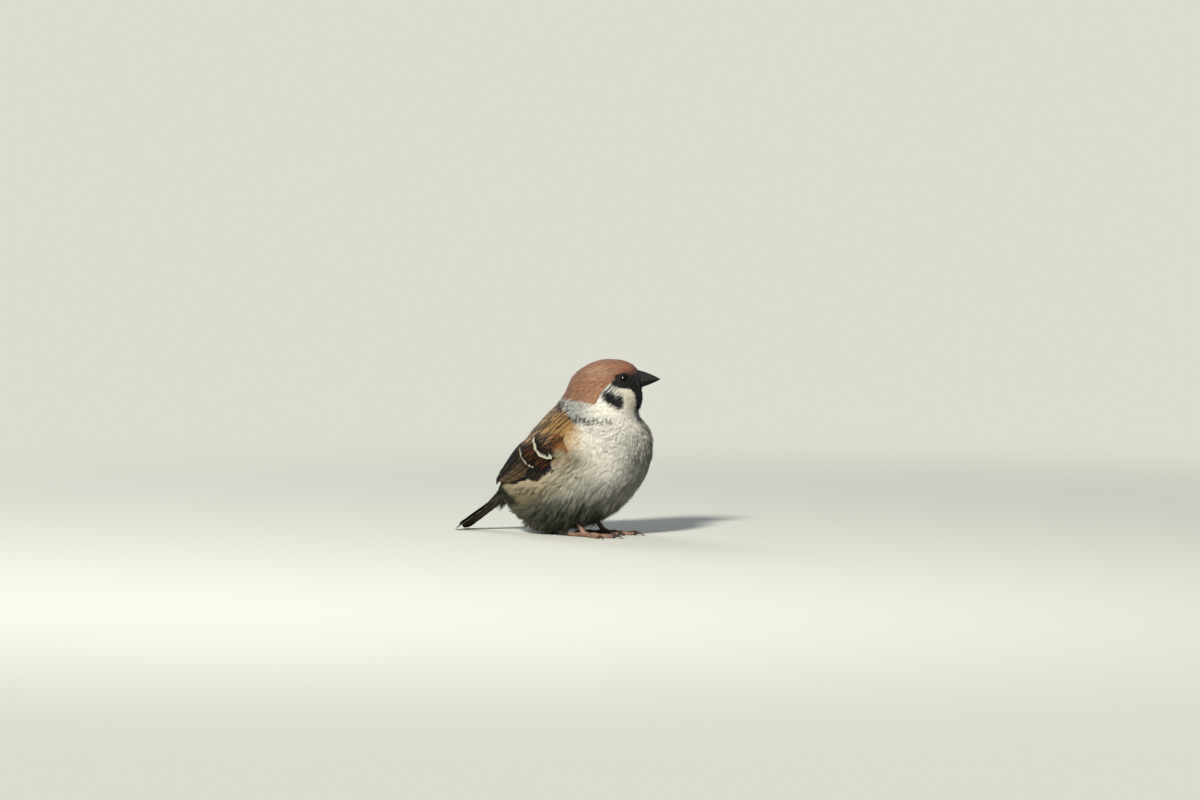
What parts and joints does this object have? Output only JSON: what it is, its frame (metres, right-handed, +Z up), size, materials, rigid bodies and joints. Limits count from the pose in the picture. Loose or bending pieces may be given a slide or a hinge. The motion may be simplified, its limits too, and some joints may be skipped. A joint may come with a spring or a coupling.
{
  "type": "eurasian tree sparrow",
  "caption": "Small perching songbird at rest, fluffed up, with folded wings, a conical bill and its head turned to the left.",
  "frame": {"origin": "middle of the model's footprint box, on the floor that the feet and the tail's tip rest on", "axes": "+X the way the body faces, +Y the bird's left, +Z up; the head is turned 30 degrees to the left of +X"},
  "size_m": [0.0976, 0.0538, 0.0793],
  "materials": {
    "crown_feathers": "matte, soft, short overlapping feathers",
    "collar_feathers": "matte, soft, loose feathers",
    "body_feathers": "matte, soft, long loose feathers",
    "wing_feathers": "satin, stiff vanes with a slight sheen",
    "tail_feathers": "satin, stiff vanes with a slight sheen",
    "bill_horn": "smooth horn, semi-gloss",
    "claw_horn": "smooth horn, semi-gloss",
    "leg_scales": "horny scales, satin",
    "eye": "wet, mirror-bright cornea over a dark brown iris"
  },
  "bodies": {
    "root": {"head": "crown_feathers", "neck": "collar_feathers", "trunk": "body_feathers", "tail": "tail_feathers", "wing_left": "wing_feathers", "wing_right": "wing_feathers", "eye_left": "eye", "eye_right": "eye", "bill_upper": "bill_horn", "bill_lower": "bill_horn", "leg_left": "leg_scales", "leg_right": "leg_scales", "foot_left": "leg_scales", "foot_right": "leg_scales", "claw_left_inner": "claw_horn", "claw_left_middle": "claw_horn", "claw_left_outer": "claw_horn", "claw_left_hind": "claw_horn", "claw_right_inner": "claw_horn", "claw_right_middle": "claw_horn", "claw_right_outer": "claw_horn", "claw_right_hind": "claw_horn"}
  },
  "joints": []
}
